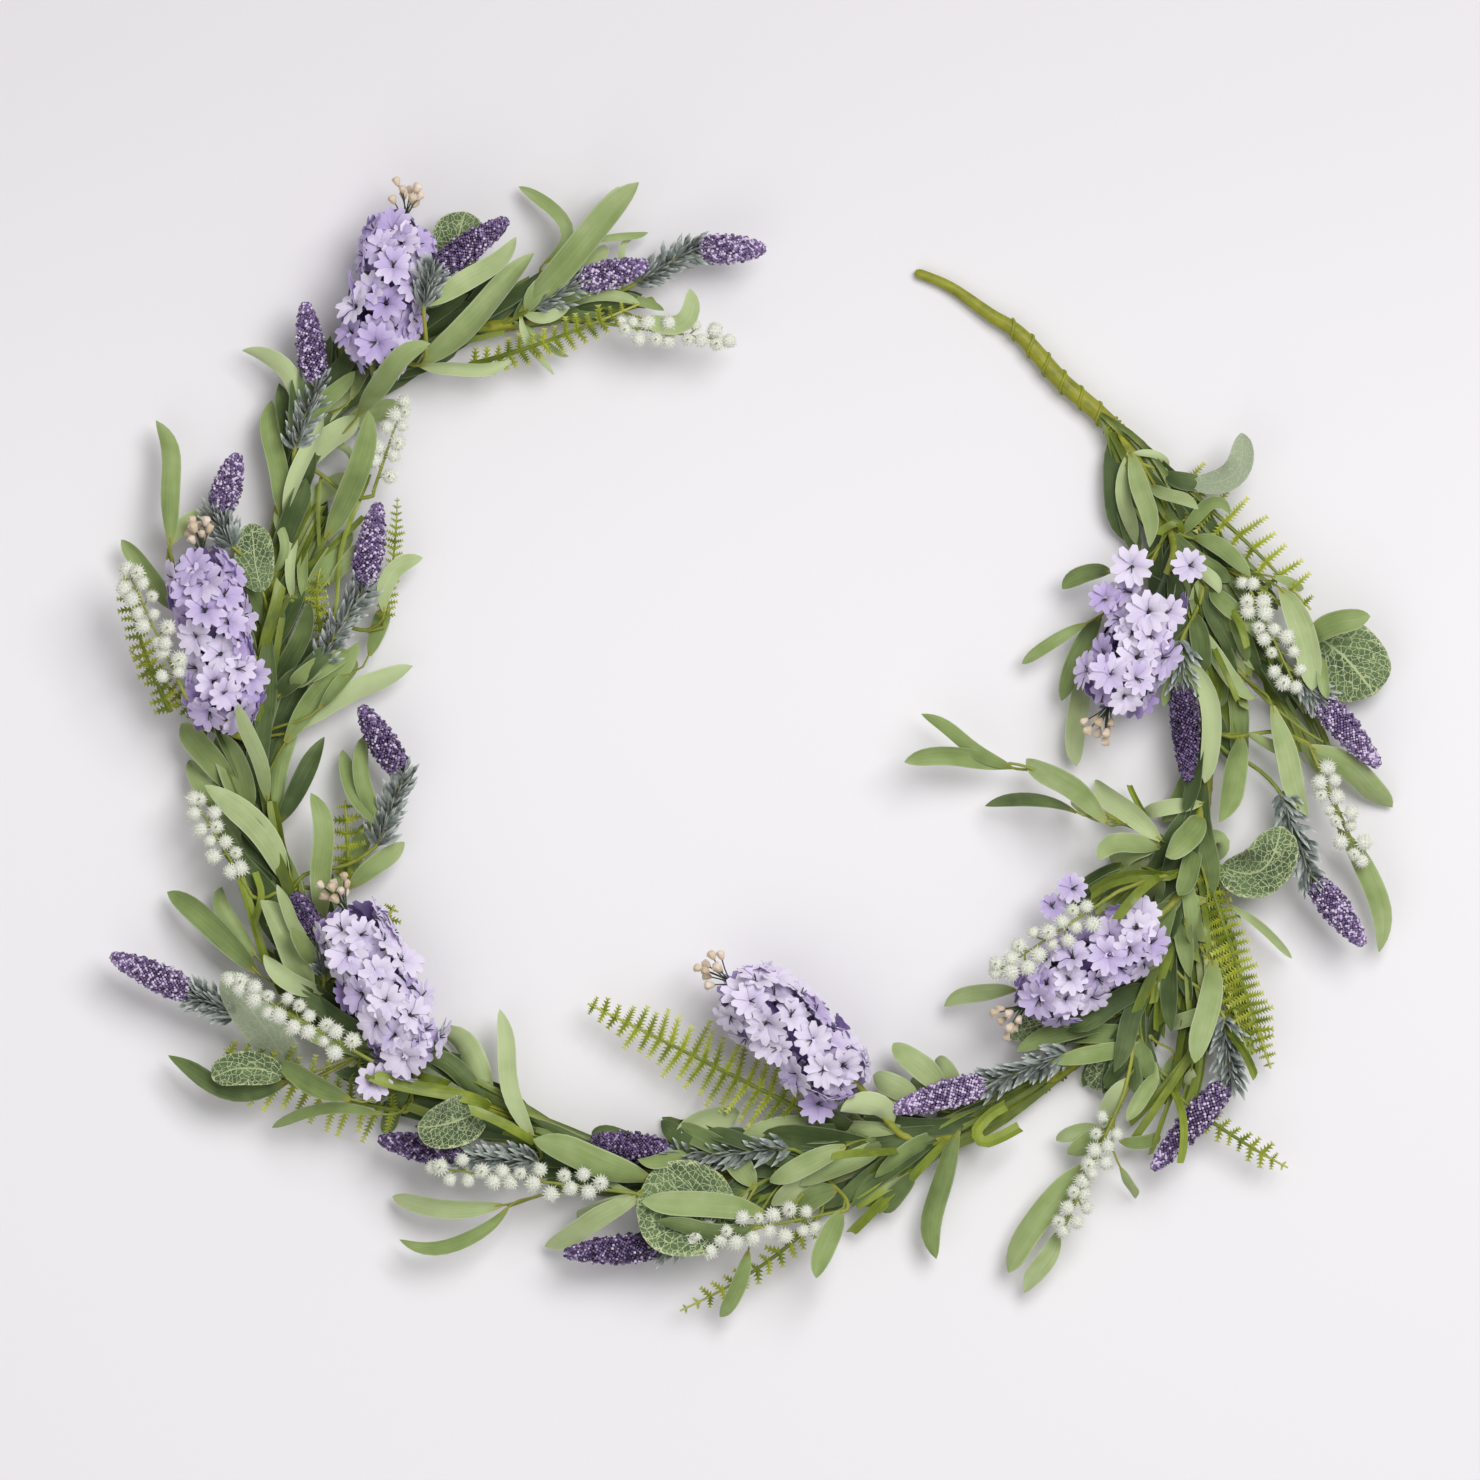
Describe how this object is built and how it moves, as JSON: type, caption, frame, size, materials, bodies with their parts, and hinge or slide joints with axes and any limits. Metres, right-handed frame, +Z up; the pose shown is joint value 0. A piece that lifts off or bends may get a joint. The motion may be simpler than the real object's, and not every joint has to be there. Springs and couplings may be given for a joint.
{
  "type": "hyacinth and lavender garland",
  "caption": "Artificial flower garland with hyacinth blooms, lavender, berries, fern and sage leaves on a bendable taped stem, laid in an open C; it dresses a table, door or shelf.",
  "frame": {"origin": "on the table, under the middle of the garland's outline", "axes": "+Z up from the table, +Y towards the tail and tip of the open C, +X to the right as seen from above"},
  "size_m": [0.6926, 0.6108, 0.0686],
  "materials": {
    "tape": "crepe floral tape, yellow-green, matte",
    "foliage": "woven fabric leaves, sage green, matte, with moulded veins",
    "fern": "soft moulded plastic, yellow-green, low sheen",
    "lavender": "dark purple grains with pale lilac tips, matte",
    "petal": "thin pale lilac fabric petals, matte",
    "berry": "flocked white berries on green stalks"
  },
  "bodies": {
    "root": {"main_stem": "tape", "bunch_01": "foliage", "bunch_02": "foliage", "bunch_03": "foliage", "bunch_04": "foliage", "bunch_05": "foliage", "bunch_06": "foliage", "bunch_07": "foliage", "bunch_08": "foliage", "bunch_09": "foliage", "bunch_10": "foliage", "bunch_11": "foliage", "bunch_12": "foliage", "bunch_13": "foliage", "bunch_14": "foliage", "bunch_15": "foliage", "bunch_16": "foliage", "bunch_17": "foliage", "hyacinth_01": "petal", "hyacinth_02": "petal", "hyacinth_03": "petal", "hyacinth_04": "petal", "hyacinth_05": "petal", "hyacinth_06": "petal", "lavender_head_01": "lavender", "lavender_head_02": "lavender", "lavender_head_03": "lavender", "lavender_head_04": "lavender", "lavender_head_05": "lavender", "lavender_head_06": "lavender", "lavender_head_07": "lavender", "lavender_head_08": "lavender", "lavender_head_09": "lavender", "lavender_head_10": "lavender", "lavender_head_11": "lavender", "lavender_head_12": "lavender", "lavender_head_13": "lavender", "lavender_head_14": "lavender", "lavender_head_15": "lavender", "lavender_head_16": "lavender", "lavender_head_17": "lavender", "berry_spray_01": "berry", "berry_spray_02": "berry", "berry_spray_03": "berry", "berry_spray_04": "berry", "berry_spray_05": "berry", "berry_spray_06": "berry", "berry_spray_07": "berry", "berry_spray_08": "berry", "berry_spray_09": "berry", "berry_spray_10": "berry", "berry_spray_11": "berry", "fern_01": "fern", "fern_02": "fern", "fern_03": "fern", "fern_04": "fern", "fern_05": "fern", "fern_06": "fern", "fern_07": "fern", "fern_08": "fern"}
  },
  "joints": []
}
